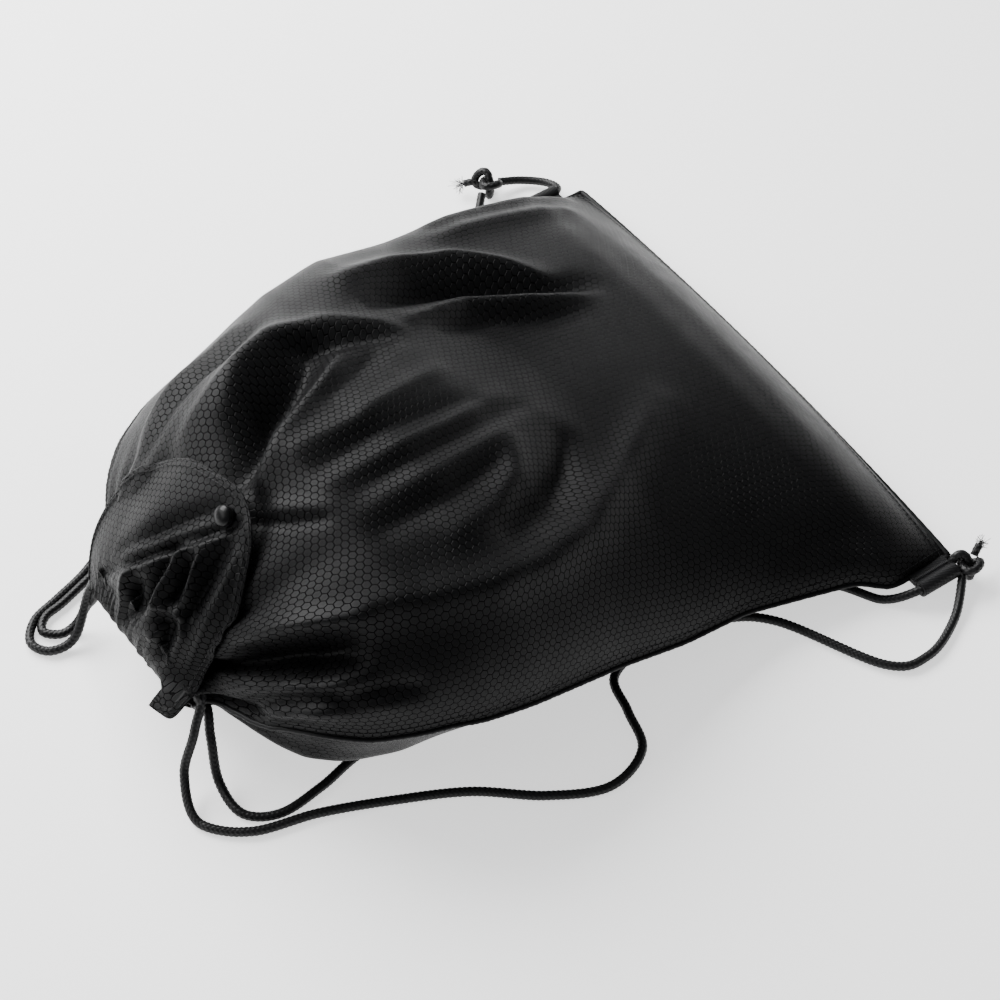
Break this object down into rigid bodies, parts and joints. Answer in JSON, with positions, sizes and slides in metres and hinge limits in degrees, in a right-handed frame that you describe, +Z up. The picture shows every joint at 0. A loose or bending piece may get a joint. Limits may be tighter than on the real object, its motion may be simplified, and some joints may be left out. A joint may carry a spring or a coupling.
{
  "type": "drawstring backpack",
  "caption": "Stuffed drawstring backpack lying on its back, with a snap-down flap over the cinched mouth and knotted cord shoulder straps.",
  "frame": {"origin": "bottom centre of the bag's bounding box as it lies on its back, without the free cords", "axes": "+X across the width, +Y from the bottom seam to the mouth, +Z up from the surface it lies on, with the front panel on top"},
  "size_m": [0.4493, 0.4598, 0.1426],
  "materials": {
    "ripstop_fabric": "satin coated honeycomb ripstop",
    "braided_cord": "braided polyester",
    "webbing": "woven",
    "thread": "twisted thread",
    "snap_black": "gloss"
  },
  "bodies": {
    "bag": {"front_panel": "ripstop_fabric", "back_panel": "ripstop_fabric", "left_side_seam": "ripstop_fabric", "right_side_seam": "ripstop_fabric", "bottom_seam": "ripstop_fabric", "front_casing": "ripstop_fabric", "back_casing": "ripstop_fabric", "flap_root": "ripstop_fabric", "snap_stud": "snap_black", "snap_eyelet": "snap_black", "left_web_loop": "webbing", "right_web_loop": "webbing", "left_loop_bartack": "thread", "right_loop_bartack": "thread", "left_cord": "braided_cord", "right_cord": "braided_cord", "left_knot": "braided_cord", "right_knot": "braided_cord", "left_cord_tips": "braided_cord", "right_cord_tips": "braided_cord"},
    "flap": {"closure_flap": "ripstop_fabric", "flap_hem": "ripstop_fabric", "snap_cap": "snap_black", "snap_socket": "snap_black"}
  },
  "joints": [
    {"name": "flap_hinge", "type": "hinge", "parent": "bag", "child": "flap", "pos_m": [0, 0.2054, 0.048], "axis": [-1, 0, 0], "range_deg": [0, 135]}
  ]
}
